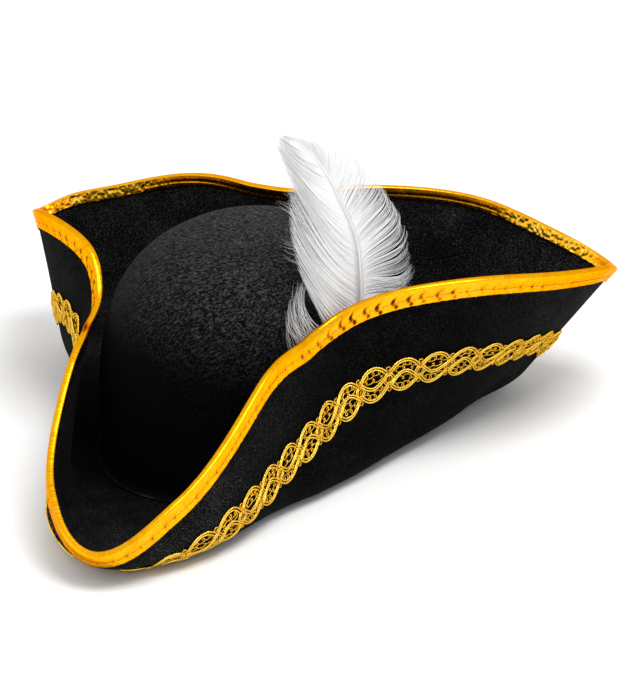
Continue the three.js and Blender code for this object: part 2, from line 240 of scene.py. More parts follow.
# %% Tubes
def tube_faces(tubes, rings, sides, closed):
    """Corner numbers of all the faces. Each side face joins a ring to the next one; a closed tube joins its
    last ring to its first, and an open one has strips of quads over both ends. The second value gives every
    corner's ring and side, counted on past the seam, for the UV map."""
    spans = rings if closed else rings - 1
    r, s = np.meshgrid(np.arange(spans), np.arange(sides), indexing="ij")
    ring = np.stack((r, r, r + 1, r + 1), axis=-1).reshape(-1, 4)
    side = np.stack((s, s + 1, s + 1, s), axis=-1).reshape(-1, 4)
    if not closed:
        j = np.arange(sides // 2 - 1)
        strip = np.stack((j, j + 1, sides - 2 - j, sides - 1 - j), axis=-1)
        ring = np.concatenate((ring, np.zeros_like(strip), np.full_like(strip, rings - 1)))
        side = np.concatenate((side, strip[:, ::-1], strip))
    one = (ring % rings) * sides + side % sides
    faces = one[None] + (np.arange(tubes) * rings * sides)[:, None, None]
    return faces.reshape(-1, 4), ring, side


def tube_mesh(points, along, across, closed=False):
    """A mesh of tubes. along is each ring's place along its tube, with one more value where it is closed,
    and across each side's place round it, with one more value for the seam: together they are the UV
    map."""
    tubes, rings, sides = points.shape[:3]
    faces, ring, side = tube_faces(tubes, rings, sides, closed)
    flat = points.reshape(-1, 3)
    a, b, c, d = (flat[faces[:, k]] for k in range(4))
    volume = (np.cross(a, b) * c).sum() + (np.cross(a, c) * d).sum()
    uv = np.stack(np.broadcast_arrays(along[:, ring], across[side][None]), axis=-1).reshape(-1, 4, 2)
    if volume < 0:
        faces = faces[:, ::-1]
        uv = uv[:, ::-1]
    mesh = bpy.data.meshes.new("tubes")
    mesh.vertices.add(len(flat))
    mesh.vertices.foreach_set("co", flat.astype(np.float32).ravel())
    mesh.loops.add(faces.size)
    mesh.loops.foreach_set("vertex_index", faces.astype(np.int32).ravel())
    mesh.polygons.add(len(faces))
    mesh.polygons.foreach_set("loop_start", np.arange(0, faces.size, 4, dtype=np.int32))
    mesh.polygons.foreach_set("loop_total", np.full(len(faces), 4, dtype=np.int32))
    mesh.polygons.foreach_set("use_smooth", np.ones(len(faces), dtype=bool))
    layer = mesh.uv_layers.new(name="UVMap")
    layer.data.foreach_set("uv", uv.astype(np.float32).ravel())
    mesh.update(calc_edges=True)
    return mesh


def add_object(name, data):
    """An object in the scene."""
    made = bpy.data.objects.new(name, data)
    bpy.context.scene.collection.objects.link(made)
    return made


def joined(meshes):
    """One mesh from several, faces and UV maps kept."""
    parts = [add_object("part", mesh) for mesh in meshes]
    with bpy.context.temp_override(active_object=parts[0], selected_editable_objects=parts):
        bpy.ops.object.join()
    mesh = parts[0].data
    bpy.data.objects.remove(parts[0])
    return mesh


def add_values(mesh, name, values):
    """One number for each point of a mesh, which its material reads by name."""
    layer = mesh.attributes.new(name, "FLOAT", "POINT")
    layer.data.foreach_set("value", values.astype(np.float32).ravel())


def add_piece(name, mesh, material, node):
    """A finished piece: its object at the origin, riding the hat's one body and standing for its solid."""
    mesh.name = name
    mesh.materials.clear()
    mesh.materials.append(material)
    piece = add_object(name, mesh)
    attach(piece, "root")
    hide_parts(node)
    print(name, "triangles:", sum(len(polygon.vertices) - 2 for polygon in mesh.polygons))


def swept(paths, normals, radius, taper=1.0, flatness=1.0, sides=4, closed=False):
    """Round or flattened cords: each ring is centre + radius taper (cos across + flatness sin normal), with
    across at right angles to the run and to the surface's normal. The UV map counts length in radii."""
    if closed:
        ahead, behind = np.roll(paths, -1, axis=1), np.roll(paths, 1, axis=1)
    else:
        ahead = np.concatenate((paths[:, 1:], paths[:, -1:]), axis=1)
        behind = np.concatenate((paths[:, :1], paths[:, :-1]), axis=1)
    run = unit(ahead - behind)
    across = unit(np.cross(run, normals))
    rise = np.cross(across, run)
    a = np.arange(sides) * (2 * math.pi / sides)
    size = np.broadcast_to(radius * taper, paths.shape[:2])[..., None, None]
    ring = np.cos(a)[:, None] * across[:, :, None] + flatness * np.sin(a)[:, None] * rise[:, :, None]
    points = paths[:, :, None] + size * ring
    ends = np.concatenate((paths, paths[:, :1]), axis=1) if closed else paths
    steps = np.linalg.norm(np.diff(ends, axis=1), axis=2)
    along = np.concatenate((np.zeros((len(paths), 1)), np.cumsum(steps, axis=1)), axis=1) * (1 / radius)
    return tube_mesh(points, along, np.linspace(0, 1, sides + 1), closed)


def bell(x, width):
    """A smooth bump, exp(-(x/width) squared)."""
    return np.exp(-((x / width) ** 2))


# %% [markdown]
# ## Small helpers for chance
#
# Cloth and feathers are never quite even. All chance here comes from one seeded generator, so the hat is
# the same each time. A lattice of random numbers, smoothed between its points, gives soft unevenness.

# %% Seeded unevenness
LATTICE_SIZE = 257
chance = np.random.default_rng(7)
LATTICE = chance.uniform(-1, 1, (LATTICE_SIZE, LATTICE_SIZE))


def uneven(x, y):
    """Smooth noise from -1 to 1: the four lattice values round a point, mixed by eased shares of x and
    y."""
    x, y = np.broadcast_arrays(np.asarray(x, dtype=float), np.asarray(y, dtype=float))
    i, j = np.floor(x).astype(int), np.floor(y).astype(int)
    u, v = x - i, y - j
    u, v = u * u * (3 - 2 * u), v * v * (3 - 2 * v)
    i0, i1, j0, j1 = (k % LATTICE_SIZE for k in (i, i + 1, j, j + 1))
    low = LATTICE[i0, j0] * (1 - u) + LATTICE[i1, j0] * u
    high = LATTICE[i0, j1] * (1 - u) + LATTICE[i1, j1] * u
    return low * (1 - v) + high * v


# %% [markdown]
# ## Node helpers and shared effects
#
# Two effects are used by more than one finish, so each is a node group, built once: the short fibres of
# felt, and the way thin metal foil glints because every little piece of it lies at its own angle.

# %% Node helpers
def feed(tree, node, inputs):
    """Fill a node's inputs. Each is a constant to set, a node whose first output is linked, or a pair of a
    node and the name of the output to link."""
    for key, value in inputs.items():
        if isinstance(value, bpy.types.Node):
            value = (value, 0)
        if isinstance(value, tuple) and isinstance(value[0], bpy.types.Node):
            tree.links.new(value[0].outputs[value[1]], node.inputs[key])
        else:
            node.inputs[key].default_value = value
    return node


def add_node(tree, kind, inputs=None, **settings):
    """A node with its settings and inputs."""
    made = tree.nodes.new("ShaderNode" + kind)
    for key, value in settings.items():
        setattr(made, key, value)
    return feed(tree, made, inputs or {})


def maths(tree, operation, *values, **settings):
    """A calculation with constants and outputs of other nodes."""
    return add_node(tree, "Math", dict(enumerate(values)), operation=operation, **settings)


def ramp(tree, source, stops):
    """A colour ramp over a source, from (place, grey or colour) pairs."""
    made = add_node(tree, "ValToRGB", {"Fac": source})
    elements = made.color_ramp.elements
    for k, (place, colour) in enumerate(stops):
        element = elements[k] if k < 2 else elements.new(place)
        element.position = place
        element.color = (colour,) * 3 + (1,) if isinstance(colour, (int, float)) else (*colour, 1)
    return made


def noise(tree, vector, scale, detail, roughness=0.5, distortion=0.0):
    """Cloudy noise at some coordinates."""
    return add_node(tree, "TexNoise", {"Vector": vector, "Scale": scale, "Detail": detail,
                                       "Roughness": roughness, "Distortion": distortion})


def ranged(tree, source, low, high, to_low, to_high):
    """A number moved from one range to another and held at its ends."""
    return add_node(tree, "MapRange", {"Value": source, "From Min": low, "From Max": high,
                                       "To Min": to_low, "To Max": to_high})


def bumps(tree, source, strength, distance):
    """A normal from a height."""
    return add_node(tree, "Bump", {"Height": source, "Strength": strength, "Distance": distance})


def new_group(name, numbers, outputs):
    """An empty node group. Its inputs are coordinates and named numbers with defaults, its outputs
    numbers."""
    tree = bpy.data.node_groups.new(name, "ShaderNodeTree")
    tree.interface.new_socket(name="Coordinates", in_out="INPUT", socket_type="NodeSocketVector")
    for label, value in numbers.items():
        socket = tree.interface.new_socket(name=label, in_out="INPUT", socket_type="NodeSocketFloat")
        socket.default_value = value
    for label in outputs:
        tree.interface.new_socket(name=label, in_out="OUTPUT", socket_type="NodeSocketFloat")
    return tree, tree.nodes.new("NodeGroupInput"), tree.nodes.new("NodeGroupOutput")


def new_material(name):
    """A material with its Principled BSDF ready and nothing else."""
    material = bpy.data.materials.new(name)
    material.use_nodes = True
    tree = material.node_tree
    return material, tree, tree.nodes["Principled BSDF"]


# %% Felt fibres
fibre_group, group_in, group_out = new_group("felt_fibres", {"Grain": 1200.0, "Cloud": 60.0},
                                             ("Height", "Mottle"))
grain = noise(fibre_group, (group_in, "Coordinates"), (group_in, "Grain"), 3.0, 0.75, 1.2)
cloud = noise(fibre_group, (group_in, "Coordinates"), (group_in, "Cloud"), 2.0, 0.6)
cloud_share = maths(fibre_group, "MULTIPLY", (cloud, "Fac"), 0.14)
grain_share = maths(fibre_group, "MULTIPLY", (grain, "Fac"), 1.06)
mottle = maths(fibre_group, "ADD", cloud_share, grain_share)
feed(fibre_group, group_out, {"Height": (grain, "Fac"), "Mottle": mottle})

# %% Foil glints
glint_group, group_in, group_out = new_group("foil_glints", {"Scale": 900.0}, ("Glint", "Height"))
spot, scale = (group_in, "Coordinates"), (group_in, "Scale")
flakes = add_node(glint_group, "TexVoronoi", {"Vector": spot, "Scale": scale, "Randomness": 1.0})
grey = add_node(glint_group, "SeparateColor", {"Color": (flakes, "Color")})
crumple = noise(glint_group, spot, scale, 2.0, 0.6, 0.6)
feed(glint_group, group_out, {"Glint": grey, "Height": (crumple, "Fac")})

# %% [markdown]
# ## Felt finishes
#
# Both felts are black wool-like fibre pressed flat. The brim's is fine and even. The crown's was stretched
# over a block while damp, which pulls the fibres into short slanting creases, so its pattern is drawn out
# along one direction, and its hollows are darkened as painted shade. The crown has painted light and shade
# too: blackest low on the wearer's right and greyer towards the top on the left, which a dot product with
# one direction gives, and a painted highlight along the edge of its foot. The brim has painted shade:
# darker near the middle, deep between the crown and the flaps, and lighter towards the front, the back and
# the rim, which a distance from the middle gives.

# %% Brim felt
PAINTED_SHADE_SHARES = (0.0, 1.0, 0.8)
brim_felt, tree, shader = new_material("brim_felt")
place = add_node(tree, "TexCoord")
fibres = add_node(tree, "Group", {"Coordinates": (place, "Object"), "Grain": 1500.0, "Cloud": 45.0},
                  node_tree=fibre_group)
tint = ramp(tree, (fibres, "Mottle"), [(0.5, 0.0005), (0.61, 0.0018), (0.68, (0.012, 0.012, 0.0122)),
                                       (0.77, 0.06)])
# Painted shade: the brim is darker near the middle and low down, between the crown and the flaps, and
# lighter towards the front, the back and the top of the flaps.
from_middle = add_node(tree, "VectorMath", {0: (place, "Object"), 1: PAINTED_SHADE_SHARES}, operation="MULTIPLY")
reach = add_node(tree, "VectorMath", {0: from_middle}, operation="LENGTH")
painted_light_and_shade = ranged(tree, (reach, "Value"), 0.06, 0.15, 0.35, 1.5)
shaded_tint = add_node(tree, "VectorMath", {0: tint, "Scale": painted_light_and_shade}, operation="SCALE")
bump = bumps(tree, (fibres, "Height"), 0.6, 0.0006)
feed(tree, shader, {"Base Color": shaded_tint, "Normal": bump, "Roughness": 0.95,
                    "Specular IOR Level": 0.03, "Sheen Weight": 0.008, "Sheen Roughness": 0.4})

# %% Crown felt
PAINTED_LIGHT_RISE = (0.3, 0.25, 1.0)
CREASE_TURN = (0, math.radians(-23), math.radians(32))
CREASE_STRETCH = (2.3, 1.0, 1.0)
crown_felt, tree, shader = new_material("crown_felt")
place = add_node(tree, "TexCoord")
slant = add_node(tree, "Mapping", {"Vector": (place, "Object"), "Rotation": CREASE_TURN,
                                   "Scale": CREASE_STRETCH}, vector_type="TEXTURE")
creases = noise(tree, slant, 1000.0, 2.5, 0.55, 1.0)
fibres = add_node(tree, "Group", {"Coordinates": (place, "Object"), "Grain": 1900.0, "Cloud": 50.0},
                  node_tree=fibre_group)
# Painted highlight: a light line along the edge of the crown's foot, where that edge catches the light.
edge = add_node(tree, "Attribute", attribute_name="painted_foot_highlight")
# Painted shade: the crease pattern darkens the colour in its hollows.
crease_shade = maths(tree, "MULTIPLY", (creases, "Fac"), 0.75)
spread = maths(tree, "MULTIPLY", (fibres, "Mottle"), 0.25)
blend = maths(tree, "ADD", crease_shade, spread)
painted_highlight_tone = maths(tree, "ADD", blend, (edge, "Fac"))
tint = ramp(tree, painted_highlight_tone, [(0.46, 0.001), (0.52, (0.01, 0.01, 0.0102)), (0.6, (0.075, 0.075, 0.076)),
                         (1.0, 0.26)])
# Painted light and shade: the crown is blackest low on the wearer's right and greyer towards the top on the
# left.
along_light = add_node(tree, "VectorMath", {0: (place, "Object"), 1: PAINTED_LIGHT_RISE}, operation="DOT_PRODUCT")
painted_light_and_shade = ranged(tree, (along_light, "Value"), 0.055, 0.16, 0.03, 1.1)
highlight_and_shade = maths(tree, "MULTIPLY_ADD", (edge, "Fac"), 0.6, painted_light_and_shade)
shaded_tint = add_node(tree, "VectorMath", {0: tint, "Scale": highlight_and_shade}, operation="SCALE")
bump = bumps(tree, blend, 0.9, 0.0012)
feed(tree, shader, {"Base Color": shaded_tint, "Normal": bump, "Roughness": 0.9,
                    "Specular IOR Level": 0.05, "Sheen Weight": 0.01, "Sheen Roughness": 0.4})

# %% [markdown]
# ## Gold finishes
#
# The ribbon is a taffeta with metal foil in its weft: smooth and mirror-like where it lies flat, with fine
# cross ribs, and painted shade where the needle pulls it in. The braid's cords are foil wound round a
# cotton core, so they are rounder, duller and ribbed by the winding; their colour runs from painted shade
# in the winding's grooves to painted glints, and the curls' copy is darker, partly as painted shade.

# %% Gold ribbon
FOIL_SLANT = math.radians(52)
ribbon_gold, tree, shader = new_material("ribbon_gold")
uv = add_node(tree, "UVMap", uv_map="UVMap")
diagonal = add_node(tree, "Mapping", {"Vector": uv, "Rotation": (0, 0, FOIL_SLANT)})
ribs = add_node(tree, "TexWave", {"Vector": diagonal, "Scale": 380.0, "Distortion": 0.5,
                                  "Detail": 1.0}, bands_direction="X")
patches = noise(tree, uv, 110.0, 2.0, 0.6)
glints = add_node(tree, "Group", {"Coordinates": uv, "Scale": 1300.0}, node_tree=glint_group)
# Painted shade in the needle holes and creases, a painted reflection on the inner face, and painted glints
# and shade on the crumpled corners, all read from the mesh.
painted_shade_and_glint = add_node(tree, "Attribute", attribute_name="painted_shade_and_glint")
glint_share = maths(tree, "MULTIPLY_ADD", (glints, "Glint"), 0.16, 0.23)
rib_share = maths(tree, "MULTIPLY", (ribs, "Fac"), 0.24)
fine = maths(tree, "ADD", glint_share, rib_share)
mixed = maths(tree, "MULTIPLY_ADD", (patches, "Fac"), 0.45, fine)
shade = maths(tree, "SUBTRACT", mixed, (painted_shade_and_glint, "Fac"), use_clamp=True)
tint = ramp(tree, shade, [(0.0, (0.05, 0.014, 0.0)), (0.3, (0.55, 0.17, 0.001)), (0.52, (1.0, 0.37, 0.004)),
                          (0.66, (1.0, 0.45, 0.006)), (0.82, (1.0, 0.55, 0.012)), (1.0, (1.0, 0.62, 0.06))])
gloss = ramp(tree, (glints, "Glint"), [(0.0, 0.16), (1.0, 0.3)])
# Where the corners have painted glints the metal is less metallic and gets a coat, so it looks brighter.
glint_metallic = ranged(tree, (painted_shade_and_glint, "Fac"), -0.2, 0.0, 0.75, 1.0)
glint_coat = ranged(tree, (painted_shade_and_glint, "Fac"), -0.2, 0.0, 0.5, 0.0)
relief = maths(tree, "ADD", rib_share, (glints, "Height"))
bump = bumps(tree, relief, 0.25, 0.0002)
feed(tree, shader, {"Base Color": tint, "Metallic": glint_metallic, "Roughness": gloss, "Normal": bump,
                    "Specular Tint": (1.0, 0.55, 0.02, 1), "Coat Weight": glint_coat, "Coat Roughness": 0.1})

# %% Gold cords
WINDING_SLANT = math.radians(24)


def cord_gold(name, dark, middle, light, roughness):
    """Foil wound on a core: ribs that run slantwise round each cord, and glints. The colour runs from the
    dark stop, painted shade in the winding's grooves, to the light stop, painted glints.
    """
    material, tree, shader = new_material(name)
    uv = add_node(tree, "UVMap", uv_map="UVMap")
    slope = add_node(tree, "Mapping", {"Vector": uv, "Rotation": (0, 0, WINDING_SLANT)})
    ribs = add_node(tree, "TexWave", {"Vector": slope, "Scale": 0.24, "Distortion": 0.4},
                    bands_direction="X")
    glints = add_node(tree, "Group", {"Coordinates": uv, "Scale": 0.9}, node_tree=glint_group)
    lifted = ranged(tree, (glints, "Glint"), 0.0, 1.0, 0.55, 1.0)
    mixed = maths(tree, "MULTIPLY", lifted, (ribs, "Fac"))
    # Painted shade in the winding's grooves and painted glints on the foil.
    tint = ramp(tree, mixed, [(0.0, dark), (0.25, middle), (0.8, light)])
    bump = bumps(tree, (ribs, "Fac"), 0.6, 0.0002)
    feed(tree, shader, {"Base Color": tint, "Normal": bump, "Metallic": 1.0,
                        "Specular Tint": (1.0, 0.65, 0.05, 1), "Roughness": roughness})
    return material


# One cord gold in two copies; the curls' copy is deeper amber and darker, partly as painted shade between
# the cords.
bright_cord = cord_gold("bright_gold_cord", (0.7, 0.27, 0.0), (1.0, 0.57, 0.01), (1.0, 0.9, 0.22), 0.2)
amber_shaded_cord = cord_gold("amber_shaded_gold_cord", (0.2, 0.05, 0.0), (0.92, 0.41, 0.0), (1.0, 0.78, 0.1), 0.24)

# %% Plume
plume_white, tree, shader = new_material("plume_white")
uv = add_node(tree, "UVMap", uv_map="UVMap")
fine = noise(tree, uv, 3.0, 2.0)
tint = ramp(tree, (fine, "Fac"), [(0.3, (0.66, 0.67, 0.68)), (0.65, 0.88)])
bump = bumps(tree, (fine, "Fac"), 0.3, 0.0001)
feed(tree, shader, {"Base Color": tint, "Normal": bump, "Roughness": 0.6,
                    "Specular IOR Level": 0.35, "Sheen Weight": 0.15})

# %% [markdown]
# ## Brim
#
# The brim's section is a long thin loop: up the inner face from the head hole to the rim, round the rim,
# and back down the outer face. It is carried round the hat in even steps along the braid.

# %% Brim
BRIM_COLUMNS = 640
BRIM_ROWS = 58


def brim_mesh():
    """For each column the distances run from just inside the crown's wall to the rim, at half a felt's
    thickness on the inner side, then back on the outer side, with a half round of four points at the
    rim."""
    wanted = np.arange(BRIM_COLUMNS) * BRAID_TOTAL / BRIM_COLUMNS
    angle = np.interp(wanted, braid_lengths, fine_angles)[:, None]
    width = around("width", angle)
    share = np.linspace(0, 1, BRIM_ROWS)
    rows = -FELT + (width - FELT / 2 + FELT) * share
    bend = np.radians((60, 20, -20, -60))
    nose = width - FELT / 2 + FELT / 2 * np.cos(bend)
    distance = np.concatenate((rows, nose, rows[:, ::-1]), axis=1)
    half = np.full(rows.shape, FELT / 2)
    offset = np.concatenate((-half, np.broadcast_to(-FELT / 2 * np.sin(bend), nose.shape), half), axis=1)
    points = felt_point(angle, distance, offset)
    along = np.linspace(0, BRAID_TOTAL, BRIM_COLUMNS + 1)[None]
    across = np.linspace(0, 0.25, points.shape[1] + 1)
    return tube_mesh(points[None], along, across, closed=True)


add_piece("brim_felt", brim_mesh(), brim_felt, "brim")

# %% [markdown]
# ## Crown
#
# The dome is blocked felt: nearly upright sides that round over into a soft top. Its profile is a
# superellipse, which is an ellipse with a power above two, and that same curve is carried round the oval of
# the head. The wall turns out at the foot, where it is stitched to the brim, and the inside is a second
# dome one felt's thickness in.

# %% Crown
CROWN_SIDES = 288
CROWN_RINGS = 250


def dome_profile(inset, count=600):
    """Share of the oval and height from the top down: share^n + (height/rise)^n = 1, with n the
    fullness."""
    turn = np.linspace(0.02, math.pi / 2, count)
    share = np.sin(turn) ** (2 / CROWN_FULLNESS)
    height = CROWN_BASE + (CROWN_HEIGHT - inset) * np.maximum(np.cos(turn), 0) ** (2 / CROWN_FULLNESS)
    return share, np.full(count, inset), height


def crown_mesh():
    """The outer dome down to a small hollow curve at the foot, out to the foot's edge, back under, and up
    the inner dome. The points along the profile are then spaced evenly by arc length."""
    share, inset, height = dome_profile(0.0)
    foot_top = CROWN_BASE + 0.8 * FELT
    keep = height > foot_top + FELT
    bend = np.radians(np.linspace(8, 90, 8))
    curve = 2.0 * MM
    corner = CROWN_FOOT - 0.5 * MM
    bevel = 0.4 * MM
    foot_inset = -np.concatenate((curve * (1 - np.cos(bend)), (corner, CROWN_FOOT, CROWN_FOOT, corner)))
    foot_height = np.concatenate((foot_top + curve * (1 - np.sin(bend)),
                                  (foot_top, foot_top - bevel, CROWN_BASE + bevel, CROWN_BASE)))
    inner_share, inner_inset, inner_height = dome_profile(FELT)
    share = np.concatenate((share[keep], np.ones(len(foot_inset)), inner_share[::-1]))
    inset = np.concatenate((inset[keep], foot_inset, inner_inset[::-1]))
    height = np.concatenate((height[keep], foot_height, inner_height[::-1]))
    radius = (CROWN_HALF.mean() - inset) * share
    length = arc_lengths(np.stack((radius, height), axis=-1))
    wanted = np.linspace(0, length[-1], CROWN_RINGS)
    share, inset, height = (np.interp(wanted, length, values)[:, None] for values in (share, inset, height))
    angle = (np.arange(CROWN_SIDES) * 360 / CROWN_SIDES)[None]
    points = placed(angle, (oval(angle) - inset) * share, height)
    outer = np.clip((wanted[:, None] - 0.004) / 0.03, 0, 1) * (wanted[:, None] < length[-1] * 0.47)
    slack = 0.5 * uneven(angle * 12 / 360 % 12 + 3, wanted[:, None] * 40) * MM
    points = points + unit(points - AXIS) * (slack * outer * np.sin(np.radians(angle) / 2) ** 2)[..., None]
    across = np.linspace(0, 1, CROWN_SIDES + 1) * 2 * math.pi * CROWN_HALF.mean()
    mesh = tube_mesh(points[None], wanted[None], across)
    # Painted highlight: a light line along the foot's edge, a little uneven round the hat.
    painted_highlight_tone = bell(inset + CROWN_FOOT, 0.5 * MM) * (0.28 + 0.2 * uneven(angle / 7, 3.5))
    add_values(mesh, "painted_foot_highlight", np.broadcast_to(painted_highlight_tone, points.shape[:2]))
    return mesh


add_piece("crown_felt", crown_mesh(), crown_felt, "crown")

# %% [markdown]
# ## Ribbon binding
#
# The ribbon is folded over the raw edge and sewn through both sides with one line of long stitches. Each
# needle hole pulls the foil into a dimple with small creases about it, and the strip between stitches and
# fold stays a little puffed. At the two rear corners the ribbon turns sharply and crumples. Painted shade
# darkens the holes and creases, the inner face gets a dark band as a painted reflection of the black felt,
# and the crumpled corners get painted glints and painted shade.

# %% Ribbon binding
BINDING_DEPTH = 10 * MM
BINDING_INNER_DEPTH = 6.5 * MM
BINDING_THICKNESS = 0.7 * MM
STITCH_PITCH = 8.3 * MM
STITCH_DOWN = 6.2 * MM
RIM_COLUMNS = 2100
OUTER_ROWS, FOLD_POINTS, INNER_ROWS = 20, 7, 12
PUCKER_ANGLE, PUCKER_SPREAD = 68, 17.0
CORNER_ANGLE, CORNER_SPREAD = 133, 8.0
INNER_STITCH_DOWN = 4.6 * MM
stitch_count = round(RIM_TOTAL / STITCH_PITCH)
stitch_places = np.arange(stitch_count) + chance.uniform(-0.12, 0.12, stitch_count)
stitch_places = stitch_places * RIM_TOTAL / stitch_count
stitch_depths = STITCH_DOWN + chance.uniform(-0.5, 0.5, stitch_count) * MM
stitch_pulls = np.clip(0.85 + 0.3 * uneven(np.arange(stitch_count) * 0.23, 5.5)
                       + chance.uniform(-0.25, 0.25, stitch_count), 0.5, 1.25)


def ribbon_relief(place, down, pucker):
    """How far the ribbon stands off its flat place, and how much painted shade darkens its needle holes and
    creases. place is the length along the rim, down the distance from the fold, and pucker a share that is
    largest where the flaps bend most."""
    k = np.round(place / RIM_TOTAL * stitch_count).astype(int) % stitch_count
    gap = (place - stitch_places[k] + RIM_TOTAL / 2) % RIM_TOTAL - RIM_TOTAL / 2
    pull = stitch_pulls[k]
    drop = down - stitch_depths[k]
    hole = pull * bell(gap, 0.75 * MM) * bell(drop, 0.8 * MM)
    curl = gap + 0.9 * MM - 0.18 * (drop / MM) ** 2 * MM
    tail = pull * pucker * bell(curl, 1.0 * MM) * bell(drop + 1.4 * MM, 1.9 * MM)
    lower = pull * pucker * bell(gap - 1.5 * MM, 1.1 * MM) * bell(drop - 2.2 * MM, 1.2 * MM)
    waving = np.cos(2 * math.pi * gap / (2.1 * MM))
    creases = pull * pucker * waving * bell(gap, 2.6 * MM) * bell(drop, 2.6 * MM)
    puff = np.sin(math.pi * np.clip(down / STITCH_DOWN, 0, 1))
    groove = bell(drop, 0.7 * MM)
    loose = np.clip((down - STITCH_DOWN) / (3 * MM), 0, 1)
    flutes = uneven(place / (1.6 * MM), down / (5 * MM) + 9) * loose
    waves = uneven(place / (9 * MM), down / (7 * MM) + 30)
    height = 0.22 * puff - 0.05 * groove - 0.3 * hole - 0.4 * tail - 0.2 * lower + 0.12 * creases
    height = height + 0.12 * flutes + 0.05 * waves
    # The second value is the painted shade in the holes and creases.
    return height * MM, np.clip(0.9 * hole + 1.1 * tail + 1.1 * lower, 0, 1)


def binding_mesh():
    """The section starts at the outer mouth, goes up the outside, over the fold as a half round, down the
    inside face, and back along the two hidden faces next to the felt."""
    wanted = np.arange(RIM_COLUMNS) * RIM_TOTAL / RIM_COLUMNS
    angle = np.interp(wanted, rim_lengths, fine_angles)[:, None]
    rim = around("width", angle)
    inside = FELT / 2 + CLEARANCE
    outside = inside + BINDING_THICKNESS
    down = np.linspace(BINDING_DEPTH, 0, OUTER_ROWS)
    inner_down = np.linspace(0, BINDING_INNER_DEPTH, INNER_ROWS)
    bend = np.radians(np.linspace(75, -75, FOLD_POINTS))
    crest = CLEARANCE + BINDING_THICKNESS
    distance = np.concatenate((-down, crest * np.cos(bend), -inner_down,
                               (-BINDING_INNER_DEPTH, 0.1 * MM, 0.1 * MM, -BINDING_DEPTH)))
    offset = np.concatenate((np.full(OUTER_ROWS, outside), outside * np.sin(bend),
                             np.full(INNER_ROWS, -outside), (-inside, -inside * 0.9, inside * 0.9, inside)))
    side = np.concatenate((np.ones(OUTER_ROWS), np.zeros(FOLD_POINTS), -np.ones(INNER_ROWS), np.zeros(4)))
    depth = np.maximum(-distance, 0)[None]
    place = wanted[:, None]
    distance_row = distance[None]
    turned = np.abs((angle + 180) % 360 - 180)
    pucker = 0.12 + bell(turned - PUCKER_ANGLE, PUCKER_SPREAD)
    relief, dark = ribbon_relief(place, depth, pucker)
    easing = np.clip(depth / (1.5 * MM), 0, 1)
    stitch_line = bell(depth - INNER_STITCH_DOWN, 0.55 * MM)
    inner_line = 0.3 * stitch_line + 0.2 * bell(depth - 2.2 * MM, 1.1 * MM)
    inner_line = inner_line + 0.05 * uneven(place / (14 * MM), depth / (3 * MM) + 50)
    at_corner = np.clip(1.5 * bell(turned - CORNER_ANGLE, CORNER_SPREAD), 0, 1)
    crumple = uneven(place / (1.5 * MM), distance_row / (1.7 * MM) + 50)
    crumple = crumple + 0.7 * uneven(place / (0.8 * MM), distance_row / (1.0 * MM) + 90)
    inner = inner_line * MM * (1 - at_corner) + 0.5 * MM * crumple * at_corner
    relief = easing * np.where(side > 0, relief, np.where(side < 0, inner, 0))
    # Painted glints and painted shade on the crumpled corners.
    crumple_glints_and_shade = at_corner * (0.15 + 0.35 * uneven(place / (0.9 * MM), distance_row / (0.9 * MM) + 20))
    # Painted reflection: a dark band on the inner face, as if it mirrored the black felt.
    painted_reflection = 0.5 * (1 - at_corner) * np.clip(1 - 4 * stitch_line, 0, 1) * easing
    dark = np.where(side > 0, dark, np.where(side < 0, painted_reflection - crumple_glints_and_shade, 0))
    fray = 0.25 * MM * uneven(place / (1.3 * MM), 70.5) * (depth > BINDING_DEPTH - 0.2 * MM)
    points = felt_point(angle, rim + distance_row + fray, offset[None] + relief * np.sign(offset)[None])
    along = np.linspace(0, RIM_TOTAL, RIM_COLUMNS + 1)[None]
    mesh = tube_mesh(points[None], along, np.concatenate((distance, distance[:1])), closed=True)
    # Painted shade, painted reflection and painted glints, which the ribbon's material reads.
    add_values(mesh, "painted_shade_and_glint", dark)
    return mesh


add_piece("gold_ribbon", binding_mesh(), ribbon_gold, "edge_binding")

# %% Stitches
def stitch_mesh():
    """One short thread from each needle hole to the next, arched over the ribbon between them."""
    t = np.linspace(0, 1, 9)[None]
    start = stitch_places[:, None]
    ahead = np.concatenate((stitch_places[1:], stitch_places[:1] + RIM_TOTAL))[:, None]
    place = start + (ahead - start) * t
    depth = stitch_depths[:, None] * (1 - t) + np.roll(stitch_depths, -1)[:, None] * t
    arch = np.sin(math.pi * t)
    surface = FELT / 2 + CLEARANCE + BINDING_THICKNESS
    lift = surface + (0.02 + 0.12 * arch) * MM - 0.35 * MM * (1 - arch**0.3)
    angle = np.interp(place % RIM_TOTAL, rim_lengths, fine_angles)
    distance = around("width", angle) - depth
    return swept(felt_point(angle, distance, lift), felt_normal(angle, distance), 0.2 * MM)


add_piece("ribbon_stitches", stitch_mesh(), bright_cord, "edge_binding")

# %% [markdown]
# ## Braid
#
# Gimp braid is plaited from doubled cords. Two outer cords make the scallops and dip between them. Between
# each two facing dips lies a small ring, and one more doubled cord goes in and out between the rings: a V
# under one scallop, the same upside down under the next. The rings hold a ladder of thin threads, the
# scallops hold curls, and a little picot stands outside every dip. Each cord is first drawn flat, as a
# place along the braid, a place across it and a height, and then laid on the felt.

# %% Laying flat drawings on the felt
BRAID_HALF = 8.9 * MM
ARCH_RISE = 6.2 * MM
ARCH_SWELL = 1.8 * MM
OUTER_CORD, RING_CORD, MIDDLE_CORD = 0.56 * MM, 0.46 * MM, 0.5 * MM
CURL_CORD, PICOT_CORD, LADDER_CORD = 0.42 * MM, 0.46 * MM, 0.3 * MM
BRAID_BED = FELT / 2 + CLEARANCE
CELL = BRAID_TOTAL / SCALLOPS


